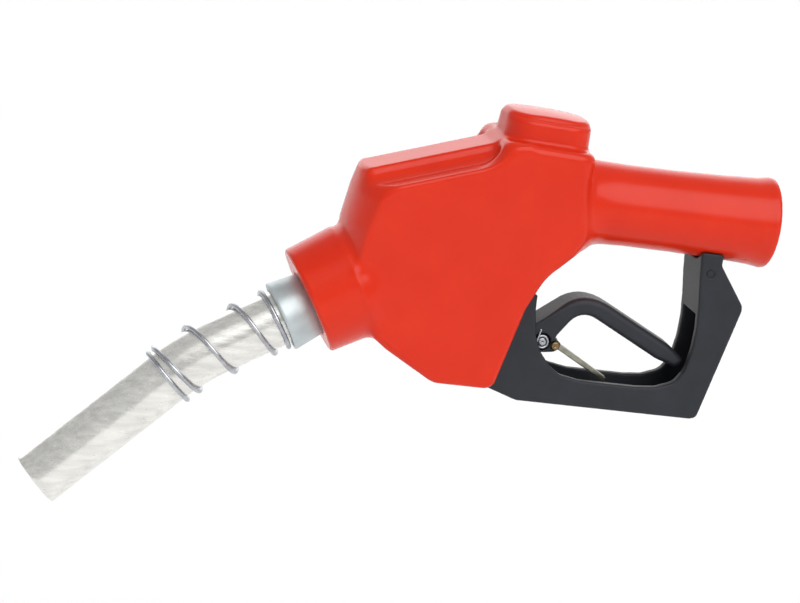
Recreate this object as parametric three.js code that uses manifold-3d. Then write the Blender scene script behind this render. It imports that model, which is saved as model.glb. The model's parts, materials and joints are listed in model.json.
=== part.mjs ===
// Automatic shut-off fuel nozzle, as a three.js scene graph. Millimetres, +Z up.
// Origin: centre of the hose inlet mouth. +X runs out of the inlet, so the spout points to -X and down.
// The nozzle is symmetric about the plane y = 0.
import * as THREE from 'three';
import { mergeVertices } from 'three/addons/utils/BufferGeometryUtils.js';
import { ConvexGeometry } from 'three/addons/geometries/ConvexGeometry.js';
import Module from 'manifold-3d';

const wasm = await Module();
wasm.setup();

// ---------------------------------------------------------------- driving dimensions
const GAP = 0.3;                    // clearance between separate pieces
const SKIN = 2.2;                   // thickness of the vinyl cover
const CORE = SKIN + GAP;            // how far the casting lies inside the cover's outer face
const SIDES = 24;                   // facets round a large circle

const INLET_BORE = 11;              // radius of the passage through the grip
const SOCKET_RADIUS = 13.2;         // radius of the hose thread
const SOCKET_DEPTH = 20;
const INLET_PROUD = 0.8;            // the metal mouth stands this far out of the cover

const LEDGE_HALF = 25;              // half width of the body at its ledge
const BODY_DRAFT = 0.0033;          // share of the width lost per millimetre downward
const RIDGE_HALF = 9.6;             // half width of the flat along the top of the ridge
const RIDGE_SLOPE = THREE.MathUtils.degToRad(18.6);
const RIDGE_START = new THREE.Vector3(-186, 0, 3.45);   // front end of the ridge's top
const RIDGE_LENGTH = 64;

const VALVE_X = -108;               // vertical axis of the main valve
const SEAT_TOP = -13.3;
const VALVE_BORE = 14;
const CAP_PLUG = 14.9;
const CAP_PLUG_BOTTOM = 15;
const STEM_RADIUS = 3;
const STEM_BOTTOM = -57.9;
const GLAND_BOSS = 8;               // radius of the boss round the stem's gland

const FULCRUM = new THREE.Vector3(-124, 0, -65);
const TRIP_TILT = -RIDGE_SLOPE;     // the trip axis stands square to the ridge
const PLUNGER_RADIUS = 4;

const SPOUT_ROOT = new THREE.Vector3(-199, 0, -60);
const SPOUT_DROP = THREE.MathUtils.degToRad(32);
const TIP_DROP = THREE.MathUtils.degToRad(46);
const BEND_RADIUS = 100;
const BEND_CORNER = 54.5;           // distance from the root to where the two spout axes cross
const TIP_LENGTH = 83.5;              // distance from that crossing to the tip
const TUBE_RADIUS = 11.9;
const TUBE_WALL = 1.6;
const TUBE_START = -33;             // inner end of the tube, measured along the spout axis

const GUARD_HALF = 13;
const SLOT_HALF = 8.6;              // half width of the lever slot in the casting and the guard
const LEVER_HALF = 8;
const TROUGH_FLOOR = -86;
const SADDLE_RADIUS = 18.8;         // the guard's rear post is hollowed to sit under the grip
const REAR_PIN = new THREE.Vector2(-26.3, -23);
const REAR_PIN_RADIUS = 1.6;
const SCREW_SHANK = 0.9;            // radius of the two screws that hold the guard's front
const SCREW_HEAD = 1.45;
const SCREW_SEATS = [-1, 1].map((side) => [-101.2, side * 10.7, -71]);

// ---------------------------------------------------------------- materials
const paint = (color, roughness, metalness) => new THREE.MeshStandardMaterial({ color, roughness, metalness });
const VINYL = () => paint(0xde3a2a, 0.35, 0);
const CAST = () => paint(0xa9adaf, 0.55, 0.85);
const ALUMINIUM = () => paint(0xc9cacd, 0.25, 1);
const SATIN = () => paint(0xa5b2b4, 0.4, 0.9);
const STEEL = () => paint(0x9c9a94, 0.3, 1);
const SPRING_STEEL = () => paint(0xb4b6ba, 0.22, 1);
const BRASS = () => paint(0xb08d4f, 0.35, 1);
const RUBBER = () => paint(0x1c1c1e, 0.8, 0);
const BLACK_PLASTIC = () => paint(0x3c3e44, 0.5, 0);
const WHITE_PLASTIC = () => paint(0xd9d8d2, 0.5, 0);

// ---------------------------------------------------------------- solids and booleans
function toSolid(geometry) {
  const bare = geometry.clone();
  for (const name of Object.keys(bare.attributes)) {
    if (name !== 'position') bare.deleteAttribute(name);
  }
  const merged = mergeVertices(bare, 1e-4);
  return new wasm.Manifold(new wasm.Mesh({
    numProp: 3,
    vertProperties: new Float32Array(merged.attributes.position.array),
    triVerts: new Uint32Array(realTriangles(merged.index.array)),
  }));
}

// A lathe leaves triangles with no area where its profile meets the axis.
function realTriangles(index) {
  const kept = [];
  for (let i = 0; i < index.length; i += 3) {
    const [a, b, c] = [index[i], index[i + 1], index[i + 2]];
    if (a !== b && b !== c && c !== a) kept.push(a, b, c);
  }
  return kept;
}

function toGeometry(solid) {
  const mesh = solid.getMesh();
  const geometry = new THREE.BufferGeometry();
  geometry.setAttribute('position', new THREE.BufferAttribute(new Float32Array(mesh.vertProperties), 3));
  geometry.setIndex(new THREE.BufferAttribute(new Uint32Array(mesh.triVerts), 1));
  geometry.computeVertexNormals();
  return geometry;
}

// Joins and cuts take three.js geometries or the solids that earlier joins and cuts returned.
const asSolid = (shape) => (shape.isBufferGeometry ? toSolid(shape) : shape);
const asGeometry = (shape) => (shape.isBufferGeometry ? shape : toGeometry(shape));
const join = (first, ...rest) => rest.reduce((sum, shape) => sum.add(asSolid(shape)), asSolid(first));
const cut = (first, ...rest) => rest.reduce((sum, shape) => sum.subtract(asSolid(shape)), asSolid(first));
const overlap = (first, second) => asSolid(first).intersect(asSolid(second));

// ---------------------------------------------------------------- frames
function frameMatrix(origin, tilt) {
  return new THREE.Matrix4().makeRotationY(tilt).setPosition(origin);
}

// Each frame's local Z is the axis of the pieces in it.
const VALVE_FRAME = frameMatrix(new THREE.Vector3(VALVE_X, 0, 0), 0);
const TRIP_FRAME = frameMatrix(FULCRUM, TRIP_TILT);
const SPOUT_FRAME = frameMatrix(SPOUT_ROOT, -(Math.PI / 2 + SPOUT_DROP));
const INLET_FRAME = frameMatrix(new THREE.Vector3(0, 0, 0), Math.PI / 2);

function frameGroup(matrix) {
  const group = new THREE.Group();
  group.applyMatrix4(matrix);
  return group;
}

const inFrame = (shape, matrix) => (shape.isBufferGeometry
  ? shape.clone().applyMatrix4(matrix)
  : shape.transform(matrix.elements));
const inSpout = (geometry) => inFrame(geometry, SPOUT_FRAME);
const inTrip = (geometry) => inFrame(geometry, TRIP_FRAME);
const inValve = (geometry) => inFrame(geometry, VALVE_FRAME);
const inInlet = (geometry) => inFrame(geometry, INLET_FRAME);

// ---------------------------------------------------------------- basic shapes
// A profile of [radius, height] points turned round the Z axis.
function turned(profile, sides = 20) {
  const points = profile.map(([radius, height]) => new THREE.Vector2(radius, height));
  return new THREE.LatheGeometry(points, sides).rotateX(Math.PI / 2);
}

const rod = (radius, low, high, sides = 16) =>
  turned([[0, low], [radius, low], [radius, high], [0, high]], sides);

const ring = (inner, outer, low, high, sides = SIDES) =>
  turned([[inner, low], [outer, low], [outer, high], [inner, high], [inner, low]], sides);

const roundRing = (radius, wire, height) =>
  new THREE.TorusGeometry(radius, wire, 6, SIDES).translate(0, 0, height);

const box = (x0, x1, y0, y1, z0, z1) =>
  new THREE.BoxGeometry(x1 - x0, y1 - y0, z1 - z0).translate((x0 + x1) / 2, (y0 + y1) / 2, (z0 + z1) / 2);

const crossRod = (x, z, radius, half, sides = 12) =>
  rod(radius, -half, half, sides).rotateX(Math.PI / 2).translate(x, 0, z);

// Moves every edge of a counter-clockwise outline inward by the same distance.
function insetOutline(points, distance) {
  const count = points.length;
  const lines = points.map(([x, z], i) => {
    const [nextX, nextZ] = points[(i + 1) % count];
    const length = Math.hypot(nextX - x, nextZ - z);
    const dx = (nextX - x) / length;
    const dz = (nextZ - z) / length;
    return { x: x - dz * distance, z: z + dx * distance, dx, dz };
  });
  return lines.map((line, i) => {
    const before = lines[(i + count - 1) % count];
    const turn = before.dx * line.dz - before.dz * line.dx;
    const along = ((line.x - before.x) * line.dz - (line.z - before.z) * line.dx) / turn;
    return [before.x + before.dx * along, before.z + before.dz * along];
  });
}

// Drops points that repeat the one before them.
function mergeClose(points) {
  return points.filter(([x, z], i) => {
    const [beforeX, beforeZ] = points[(i + points.length - 1) % points.length];
    return Math.hypot(x - beforeX, z - beforeZ) > 0.05;
  });
}

// An outline in the XZ plane, given depth along Y on both sides of the symmetry plane.
function slab(points, half, bevel = 0, segments = 1) {
  const shape = new THREE.Shape(points.map(([x, z]) => new THREE.Vector2(x, z)));
  const geometry = new THREE.ExtrudeGeometry(shape, {
    depth: 2 * (half - bevel),
    bevelEnabled: bevel > 0,
    bevelThickness: bevel,
    bevelSize: bevel,
    bevelOffset: -bevel,
    bevelSegments: segments,
    curveSegments: 8,
  });
  return geometry.translate(0, 0, -(half - bevel)).rotateX(Math.PI / 2);
}

function roundedRectangle(halfX, halfY, corner) {
  const shape = new THREE.Shape();
  const [x, y] = [halfX - corner, halfY - corner];
  shape.absarc(x, y, corner, 0, Math.PI / 2);
  shape.absarc(-x, y, corner, Math.PI / 2, Math.PI);
  shape.absarc(-x, -y, corner, Math.PI, 1.5 * Math.PI);
  shape.absarc(x, -y, corner, 1.5 * Math.PI, 2 * Math.PI);
  return shape;
}

// A coil of round wire about the Z axis. heightAt and radiusAt take the share of the wire's length.
class Coil extends THREE.Curve {
  constructor(turns, heightAt, radiusAt) {
    super();
    this.turns = turns;
    this.heightAt = heightAt;
    this.radiusAt = radiusAt;
  }

  getPoint(t, target = new THREE.Vector3()) {
    const angle = 2 * Math.PI * this.turns * t;
    const radius = this.radiusAt(t);
    return target.set(radius * Math.cos(angle), radius * Math.sin(angle), this.heightAt(t));
  }
}

function wire(path, radius, steps, sides = 5) {
  const section = new THREE.Shape();
  for (let i = 0; i < sides; i += 1) {
    const angle = (2 * Math.PI * i) / sides;
    section[i ? 'lineTo' : 'moveTo'](radius * Math.cos(angle), radius * Math.sin(angle));
  }
  section.closePath();
  return new THREE.ExtrudeGeometry(section, { steps, extrudePath: path, bevelEnabled: false });
}

function coilSpring(radius, wireRadius, low, high, turns) {
  const heightAt = (t) => THREE.MathUtils.lerp(low + wireRadius, high - wireRadius, t);
  return wire(new Coil(turns, heightAt, () => radius), wireRadius, Math.round(turns * 10));
}

// ---------------------------------------------------------------- outer form
// The smooth outside of the nozzle. The cover and the casting are both this form, at different insets.
function gripForm(inset) {
  const r = (radius) => radius - inset;
  return inInlet(turned([
    [0, -104], [r(18.6), -104], [r(18.1), -82], [r(17.6), -66], [r(17.7), -45], [r(18.3), -22],
    [r(19.1), -8], [r(19.8), -4], [r(19.8), -1.6], [r(19.3), 0], [0, 0],
  ], SIDES));
}

function plateForm(inset) {
  const outline = [
    [-179.5, -1], [-181.5, -12], [-183, -28], [-180, -45], [-171.5, -67], [-165, -71.5], [-144, -83],
    [-141, -84], [-117.7, -84], [-107.9, -46.8], [-103.5, -36], [-98.5, -25.5],
    [-95.5, -19], [-92, -8], [-91, 8], [-98, 15], [-118, 15],
  ];
  const plate = slab(insetOutline(outline, inset), LEDGE_HALF - inset, 3.5, 2);
  const position = plate.attributes.position;
  for (let i = 0; i < position.count; i += 1) {
    position.setY(i, position.getY(i) * (1 + BODY_DRAFT * Math.min(position.getZ(i), 0)));
  }
  return plate;
}

// The shoulder carries the body's flat sides over into the round grip.
function shoulderForm(inset) {
  const points = [];
  for (const side of [-1, 1]) {
    for (const [half, z] of [[23, 9], [24, -8], [20, -22.5]]) {
      points.push(new THREE.Vector3(-95, side * (half - inset), z + (z < -20 ? inset : 0)));
    }
    for (const degrees of [-90, -60, -30, 0, 25]) {
      const angle = THREE.MathUtils.degToRad(degrees);
      const radius = 17.8 - inset;
      points.push(new THREE.Vector3(-77, side * radius * Math.cos(angle), radius * Math.sin(angle)));
    }
  }
  return new ConvexGeometry(points);
}

// The ridge is a bar with hollowed flanks that rises toward the cap.
function ridgeForm(inset) {
  const flank = [[16, -5.7], [11.8, -3.1]];
  const top = RIDGE_HALF - inset * 0.45;
  const half = [[19 - inset, -6.6 - inset], ...flank.map(([y, z]) => [y - inset * 0.8, z - inset * 0.6])];
  const section = [...half, [top, -inset], [-top, -inset]];
  for (const [y, z] of [...half].reverse()) section.push([-y, z]);
  section.push([-(19 - inset), -26], [19 - inset, -26]);
  const shape = new THREE.Shape(section.map(([y, z]) => new THREE.Vector2(y, z)));
  const length = RIDGE_LENGTH - inset;
  const bar = new THREE.ExtrudeGeometry(shape, { depth: length, bevelEnabled: false });
  // Section X becomes Y, section Y becomes Z, and the bar runs along +X.
  const turn = new THREE.Matrix4().makeBasis(
    new THREE.Vector3(0, 1, 0),
    new THREE.Vector3(0, 0, 1),
    new THREE.Vector3(1, 0, 0),
  );
  bar.applyMatrix4(turn).translate(inset, 0, 0).rotateY(-RIDGE_SLOPE);
  return bar.translate(RIDGE_START.x, 0, RIDGE_START.z);
}

// The front of the hump falls away to the collar and is rounded in plan.
function noseForm(inset) {
  const points = [];
  const levels = [
    { x: -184.8, z: 2.6, half: 9, bulge: 1.2 },
    { x: -186.4, z: -6, half: 20, bulge: 5 },
    { x: -188.4, z: -20, half: 22, bulge: 6 },
    { x: -189.8, z: -36, half: 21, bulge: 5 },
  ];
  for (const { x, z, half, bulge } of levels) {
    for (const share of [-1, -0.6, 0, 0.6, 1]) {
      const front = x + inset + bulge * share * share;
      points.push(new THREE.Vector3(front, share * (half - inset), z - (z > 0 ? inset : 0)));
      points.push(new THREE.Vector3(-165, share * (half - inset), z - (z > 0 ? inset - 5 : 0)));
    }
  }
  return new ConvexGeometry(points);
}

// The boss stands over the main valve; its shelf carries the raised cap.
function bossForm(inset) {
  const shape = roundedRectangle(21 - inset, 24.6 - inset, 9 - inset);
  const geometry = new THREE.ExtrudeGeometry(shape, {
    depth: 44 - inset,
    bevelEnabled: true,
    bevelThickness: 1.6,
    bevelSize: 1.6,
    bevelOffset: -1.6,
    bevelSegments: 1,
    curveSegments: 3,
  });
  return geometry.translate(VALVE_X - 1, 0, -21.5);
}

function domeForm(inset) {
  const shape = roundedRectangle(18.2 - inset, 15.4 - inset, 10.5 - inset);
  const geometry = new THREE.ExtrudeGeometry(shape, {
    depth: 13 - inset,
    bevelEnabled: true,
    bevelThickness: 2.4,
    bevelSize: 3,
    bevelOffset: -3,
    bevelSegments: 2,
    curveSegments: 3,
  });
  return geometry.translate(VALVE_X, 0, 20.8);
}

// The collar is a cone round the spout, centred a little above the spout's axis.
const COLLAR_RISE = 2.4;
const COLLAR_FACE = -2.2;
const COLLAR_RADIUS = 23.2;
function collarForm(inset) {
  const face = COLLAR_FACE - inset;
  const r = COLLAR_RADIUS - inset;
  const cone = turned([
    [0, -46], [r - 10, -46], [r + 1.6, -23], [r + 0.4, face - 2], [r - 0.9, face], [0, face],
  ], SIDES);
  return inSpout(cone.translate(COLLAR_RISE, 0, 0));
}

const nozzleForm = (inset) => join(
  plateForm(inset),
  gripForm(inset),
  shoulderForm(inset),
  noseForm(inset),
  ridgeForm(inset),
  bossForm(inset),
  collarForm(inset),
);

// ---------------------------------------------------------------- lever guard outline
const GUARD_FRONT = [[-119.2, -81.5], [-106.6, -43.8]];
const WINDOW = [
  [-101.6, -43], [-101.2, -48], [-99.4, -58.7], [-95.9, -66], [-91, -71.6], [-85.5, -75.4], [-76, -77],
  [-50, -77], [-42, -76], [-34, -72.5], [-29.6, -66.5], [-28.1, -57], [-28, -48], [-29, -38], [-30.6, -27],
  [-32, -14], [-32, -8],
];

function guardOutline() {
  const outer = [
    ...GUARD_FRONT.slice(0, 1), [-116.5, -84.4], [-104.6, -88.2], [-102.8, -88.6], [-23.6, -88.6],
    [-21, -87.8], [-20.2, -86], [-8.9, -37.7], [-9.4, -35.4], [-21.8, -19], [-21.8, -8],
  ];
  return [...outer, ...[...WINDOW].reverse(), [-103.6, -41.5], ...GUARD_FRONT.slice(1)];
}

const rearPinHole = () => crossRod(REAR_PIN.x, REAR_PIN.y, REAR_PIN_RADIUS + GAP, 20);

// The casting's lug, which the guard's rear post straddles.
const lugBox = (room) => box(-28.6 - room, -24 + room, -5 - room, 5 + room, -27 - room, -8);

function leverGuard() {
  const body = slab(guardOutline(), GUARD_HALF, 0.8);
  const saddle = inInlet(rod(SADDLE_RADIUS, -60, 6, SIDES));
  const trough = slab([
    [-101, -74], [-94, -80], [-88, TROUGH_FLOOR], [-31, TROUGH_FLOOR], [-23.5, -80.5], [-17.6, -54], [-17, -44],
    [-30, -42], [-45, -60], [-101, -60],
  ], SLOT_HALF + 0.4);
  const leverSlot = box(-130, -93, -SLOT_HALF, SLOT_HALF, -77, -30);
  const screwHoles = SCREW_SEATS.map((seat) => join(
    rod(SCREW_SHANK + GAP, -40, 20, 12).rotateY(Math.PI / 2).translate(...seat),
    rod(SCREW_HEAD + GAP, -GAP, 30, 12).rotateY(Math.PI / 2).translate(...seat),
  ));
  return cut(body, saddle, trough, leverSlot, lugBox(0.4), rearPinHole(), ...screwHoles);
}

// ---------------------------------------------------------------- casting and cover
function castingCavities() {
  const inlet = inInlet(turned([
    [0, -98], [INLET_BORE, -98], [INLET_BORE, -SOCKET_DEPTH - 2], [SOCKET_RADIUS - 0.4, -SOCKET_DEPTH],
    [SOCKET_RADIUS, -2], [SOCKET_RADIUS + 0.9, 0], [SOCKET_RADIUS + 0.9, 5], [0, 5],
  ]));
  const valve = inValve(turned([
    [0, -34], [12, -34], [12, -19], [VALVE_BORE, -19], [VALVE_BORE, CAP_PLUG_BOTTOM - 0.6],
    [CAP_PLUG + GAP, CAP_PLUG_BOTTOM - 0.6], [CAP_PLUG + GAP, 40], [0, 40],
  ]));
  const stem = inValve(turned([
    [0, -60], [5.9, -60], [5.9, -42.2], [5.1, -42.2], [5.1, -36.5], [3.5, -36.5], [3.5, -30], [0, -30],
  ]));
  const passage = slab([[-108, -33], [-108, -20.5], [-168, -34], [-168, -46]], 12);
  const trip = inTrip(turned([
    [0, 0], [7.7, 0], [7.7, 48.5], [9, 50], [17.2, 59], [17.2, 66], [18.8, 66], [18.8, 100], [0, 100],
  ]));
  const spout = inSpout(turned([
    [0, -46], [10.5, -46], [10.5, -34], [12.2, -34], [12.2, -29], [13.5, -29], [13.5, -26.9], [12.2, -26.9],
    [12.2, -16], [14.1, -16], [14.1, 5], [0, 5],
  ]));
  const setScrew = inSpout(rod(2.3, 12, 30, 12).rotateZ(0.2).rotateX(-Math.PI / 2).translate(0, 0, -9));
  const leverSlot = box(-138, -90, -SLOT_HALF, SLOT_HALF, -77, -46.6);
  const screws = SCREW_SEATS.map((seat) => rod(SCREW_SHANK + GAP, -22, 0, 12).rotateY(Math.PI / 2).translate(...seat));
  return [inlet, valve, stem, passage, trip, spout, setScrew, leverSlot, ...screws];
}

function bodyCasting() {
  const glandBoss = inValve(rod(GLAND_BOSS, -46.2, -20, SIDES));
  const outside = join(nozzleForm(CORE), lugBox(0), glandBoss);
  return cut(outside, ...castingCavities(), rearPinHole());
}

function scuffCover() {
  const outside = join(nozzleForm(0), domeForm(0));
  const inside = join(nozzleForm(SKIN), domeForm(SKIN));
  const mouth = inInlet(rod(30, -INLET_PROUD, 10));
  const sleeveEnd = inInlet(rod(17.6, -12, 5, SIDES));
  const nose = inSpout(rod(14.6, -10, 10, SIDES));
  const heel = slab([
    [-125, -80], [-121.5, -84.8], [-116, -86], [-98, -86], [-98, -40], [-112, -40],
  ], GUARD_HALF + GAP);
  const glandHole = inValve(rod(GLAND_BOSS + GAP, -60, -20, SIDES));
  return cut(outside, inside, mouth, sleeveEnd, nose, heel, lugBox(0.6), glandHole);
}

// ---------------------------------------------------------------- main valve
function valveCap() {
  const head = overlap(domeForm(CORE), inValve(rod(CAP_PLUG - 0.4, 21, 50, SIDES)));
  const plug = inValve(turned([
    [0, CAP_PLUG_BOTTOM], [CAP_PLUG, CAP_PLUG_BOTTOM], [CAP_PLUG, 16.4], [13.3, 16.4], [13.3, 18.2],
    [CAP_PLUG, 18.2], [CAP_PLUG, 21.5], [0, 21.5],
  ]));
  const pocket = inValve(rod(7.8, 0, 29.5, 24));
  return inFrame(cut(join(head, plug), pocket), VALVE_FRAME.clone().invert());
}

const poppet = () => turned([
  [3.3, -9.7], [12.6, -9.7], [12.6, -8], [8.2, -6.6], [5, -6.6], [5, -1.5], [3.3, -1.5], [3.3, -9.7],
]);

const stem = () => turned([
  [0, STEM_BOTTOM], [STEM_RADIUS - 1, STEM_BOTTOM], [STEM_RADIUS, STEM_BOTTOM + 1], [STEM_RADIUS, 0.5],
  [STEM_RADIUS - 0.6, 1.2], [0, 1.2],
]);

const glandNut = () => {
  const flats = new THREE.CylinderGeometry(5.6, 5.6, 4.6, 6).rotateX(Math.PI / 2).translate(0, 0, -44.6);
  return cut(flats, rod(3.4, -60, -30));
};

// ---------------------------------------------------------------- automatic trip
function plunger() {
  const body = turned([
    [0, 8.5], [PLUNGER_RADIUS, 8.5], [PLUNGER_RADIUS, 38], [5.6, 38], [5.6, 47.8], [0, 47.8],
  ], 24);
  const eye = crossRod(0, 0, 5.4, 3, 20);
  const neck = box(-3.6, 3.6, -2.6, 2.6, -1, 10);
  const pinHole = crossRod(0, 0, 2.1, 20);
  const bore = rod(2.5, 40.5, 60, 16);
  const pockets = [0, 1, 2].map((i) =>
    rod(1.6, 1.5, 12, 10).rotateZ(0.2).rotateY(Math.PI / 2).translate(0, 0, 44.5).rotateZ((i * 2 * Math.PI) / 3));
  return cut(join(body, neck, eye), pinHole, bore, ...pockets);
}

const latchBall = (i) => {
  const angle = (i * 2 * Math.PI) / 3;
  return new THREE.SphereGeometry(1.25, 8, 6).translate(4.2 * Math.cos(angle), 4.2 * Math.sin(angle), 44.5);
};

const latchPin = () => turned([
  [0, 42], [1.2, 42], [2, 44], [2, 54], [3.2, 55], [3.2, 60.6], [1.4, 60.6], [1.4, 64.6], [0, 64.6],
], 16);

const diaphragm = () => turned([
  [1.7, 61], [8, 61], [11, 60.2], [14, 61], [16.8, 61], [16.8, 62.2], [14, 62.2], [11, 61.4], [8, 62.2],
  [8, 63.2], [1.7, 63.2], [1.7, 61],
]);

function vacuumCap() {
  const column = inTrip(rod(18.5, 66.3, 100, SIDES));
  const lid = overlap(nozzleForm(CORE), column);
  const pocket = inTrip(rod(6.2, 60, 71.6, 20));
  const boss = inValve(rod(CAP_PLUG + 3, -10, 40, SIDES));
  return inFrame(cut(lid, pocket, boss), TRIP_FRAME.clone().invert());
}

// ---------------------------------------------------------------- spout
// The tube's centre line: straight, a bend of BEND_RADIUS, straight. Lengths run from the spout's root.
class SpoutLine extends THREE.Curve {
  constructor(start, end, across = 0) {
    super();
    this.start = start;
    this.end = end;
    this.across = across;
  }

  pointAt(s, target = new THREE.Vector3()) {
    const turn = TIP_DROP - SPOUT_DROP;
    const tangent = BEND_RADIUS * Math.tan(turn / 2);
    const bendStart = BEND_CORNER - tangent;
    const angle = THREE.MathUtils.clamp((s - bendStart) / BEND_RADIUS, 0, turn);
    const beyond = Math.max(0, s - bendStart - BEND_RADIUS * turn);
    const before = Math.min(s, bendStart);
    const z = before + BEND_RADIUS * Math.sin(angle) + beyond * Math.cos(angle);
    const x = -BEND_RADIUS * (1 - Math.cos(angle)) - beyond * Math.sin(angle);
    return target.set(x + this.across * Math.cos(angle), 0, z + this.across * Math.sin(angle));
  }

  directionAt(s) {
    const step = 0.01;
    return this.pointAt(s + step).sub(this.pointAt(s - step)).normalize();
  }

  getPoint(t, target = new THREE.Vector3()) {
    return this.pointAt(THREE.MathUtils.lerp(this.start, this.end, t), target);
  }
}

const SPOUT_LENGTH = BEND_CORNER + TIP_LENGTH - 0.1;
const SENSOR_HOLE = 2;              // radius of the hole that draws air until the fuel covers it
const SENSOR_FROM_TIP = 14;

function pipe(path, outer, inner, steps, sides) {
  const hollow = (radius) => {
    const points = [];
    for (let i = 0; i < sides; i += 1) {
      const angle = (2 * Math.PI * i) / sides;
      points.push(new THREE.Vector2(radius * Math.cos(angle), radius * Math.sin(angle)));
    }
    return points;
  };
  const shape = new THREE.Shape(hollow(outer));
  shape.holes.push(new THREE.Path(hollow(inner).reverse()));
  return new THREE.ExtrudeGeometry(shape, { steps, extrudePath: path, bevelEnabled: false });
}

function spoutTube() {
  const path = new SpoutLine(TUBE_START, SPOUT_LENGTH);
  const tube = pipe(path, TUBE_RADIUS, TUBE_RADIUS - TUBE_WALL, 18, SIDES);
  const sensor = path.pointAt(SPOUT_LENGTH - SENSOR_FROM_TIP);
  const sensorHole = rod(SENSOR_HOLE, -20, 0, 10).rotateY(Math.PI / 2).translate(sensor.x, 0, sensor.z);
  return cut(tube, sensorHole);
}

// The grip spring: two closed turns at the bend, opening out toward the spout nut.
class GripSpring extends THREE.Curve {
  constructor(line, radius, turns) {
    super();
    this.line = line;
    this.radius = radius;
    this.turns = turns;
  }

  getPoint(t, target = new THREE.Vector3()) {
    const count = this.turns * t;
    const opening = THREE.MathUtils.smoothstep(count, 0.72, 4.12);
    const s = 66.8 - 2.2 * count - 43 * opening;
    const angle = 2 * Math.PI * count;
    const forward = this.line.directionAt(s);
    const up = new THREE.Vector3(forward.z, 0, -forward.x);
    this.line.pointAt(s, target);
    target.addScaledVector(up, this.radius * Math.cos(angle));
    target.y -= this.radius * Math.sin(angle);
    return target;
  }
}

const GRIP_WIRE = 1;                // radius of the spring's wire
const GRIP_COIL = TUBE_RADIUS + GRIP_WIRE + 0.35;
const spoutSpring = () =>
  wire(new GripSpring(new SpoutLine(0, SPOUT_LENGTH), GRIP_COIL, 4.5), GRIP_WIRE, 64, 6);

const spoutNut = () => turned([
  [12.2, -15], [13.6, -15], [13.8, -14.4], [13.8, -2], [15.4, 11.2], [14.9, 12], [12.2, 12], [12.2, -15],
]);

function checkGuide() {
  const rim = ring(8.8, 10, -21, -17);
  const hub = rod(3.6, -21, -17, 16);
  const arms = [0, 1, 2].map((i) => box(2.5, 9.4, -1, 1, -20.8, -17.2).rotateZ((i * 2 * Math.PI) / 3));
  return cut(join(rim, hub, ...arms), rod(2, -30, 0, 12));
}

const checkPoppet = () => turned([
  [0, -37], [4.8, -37], [8.2, -34], [8.2, -32.2], [1.6, -31], [1.6, -17.6], [0, -17.6],
], 20);

// ---------------------------------------------------------------- lever and hold-open clip
const CLIP_PIVOT = new THREE.Vector2(-88.7, -63.7);
const CLIP_COIL = new THREE.Vector2(-94.6, -62.6);

function lever() {
  const outline = new THREE.Shape();
  outline.moveTo(FULCRUM.x, FULCRUM.z - 5.6);
  outline.lineTo(-104, -68.6);
  outline.lineTo(-96, -67.6);
  outline.lineTo(-89.5, -67);
  outline.quadraticCurveTo(-85.4, -66.4, -85.6, -62.8);
  outline.lineTo(-89, -60.6);
  outline.lineTo(-83.2, -52.7);
  outline.quadraticCurveTo(-78.2, -46.9, -71.1, -50.6);
  outline.lineTo(-41.7, -64.9);
  outline.lineTo(-33, -67.6);
  outline.quadraticCurveTo(-28.6, -66.6, -29.6, -63.2);
  outline.lineTo(-36.5, -58.3);
  outline.lineTo(-65, -44.5);
  outline.quadraticCurveTo(-77.5, -38.2, -86, -44.4);
  outline.lineTo(-96, -53);
  outline.quadraticCurveTo(-101, -57, -107, -58.3);
  outline.lineTo(FULCRUM.x, FULCRUM.z + 5.6);
  outline.absarc(FULCRUM.x, FULCRUM.z, 5.6, Math.PI / 2, 1.5 * Math.PI);
  const points = outline.getPoints(5).map((p) => [p.x, p.y]);
  const bar = slab(mergeClose(points), LEVER_HALF, 1.5);
  const fork = join(
    box(-140, -115.5, -3.4, 3.4, -80, -50),
    crossRod(FULCRUM.x, FULCRUM.z, 2.1, 20),
  );
  const clipSlot = box(-99.5, -80, -3.5, 3.5, -75, -58.6);
  const clipHole = crossRod(CLIP_PIVOT.x, CLIP_PIVOT.y, 1.9, 20);
  const coilNotch = crossRod(CLIP_COIL.x, CLIP_COIL.y, 3.9, 3, 20).translate(0, -7.1, 0);
  return cut(bar, fork, clipSlot, clipHole, coilNotch);
}

function holdOpenClip() {
  const { x, y: z } = CLIP_PIVOT;
  const strap = slab([
    [x - 1, z - 2.4], [x + 1.6, z - 1.9], [-63, -78.2], [-61.4, -78.4], [-61, -77.2], [-61.8, -76.4],
    [x + 2.6, z + 0.4], [x + 1, z + 2.4],
  ], 2.6);
  return cut(join(strap, crossRod(x, z, 2.9, 2.6)), crossRod(x, z, 1.75, 20));
}

function clipRivet() {
  const shank = crossRod(CLIP_PIVOT.x, CLIP_PIVOT.y, 1.5, LEVER_HALF + 0.9);
  const heads = [-1, 1].map((side) =>
    crossRod(CLIP_PIVOT.x, CLIP_PIVOT.y, 2.5, 0.5).translate(0, side * (LEVER_HALF + 0.9), 0));
  return join(shank, ...heads);
}

const clipSpring = () => {
  const coil = wire(new Coil(3, (t) => -1.6 + 3.2 * t, () => 2.7), 0.45, 30);
  return coil.rotateX(Math.PI / 2).translate(CLIP_COIL.x, -6.3, CLIP_COIL.y);
};

function holdOpenRack() {
  const points = [[-80, TROUGH_FLOOR + GAP], [-52, TROUGH_FLOOR + GAP], [-52, -84.9]];
  for (let x = -55; x >= -77; x -= 4) points.push([x, -84.9], [x, -83.7], [x - 1.6, -83.7], [x - 3, -84.9]);
  points.push([-80, -84.9]);
  return slab(mergeClose(points), 7.5);
}

const capScrew = (shank, head, low, shoulder, high) =>
  turned([[0, low], [shank, low], [shank, shoulder], [head, shoulder], [head, high], [0, high]], 12);

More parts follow.
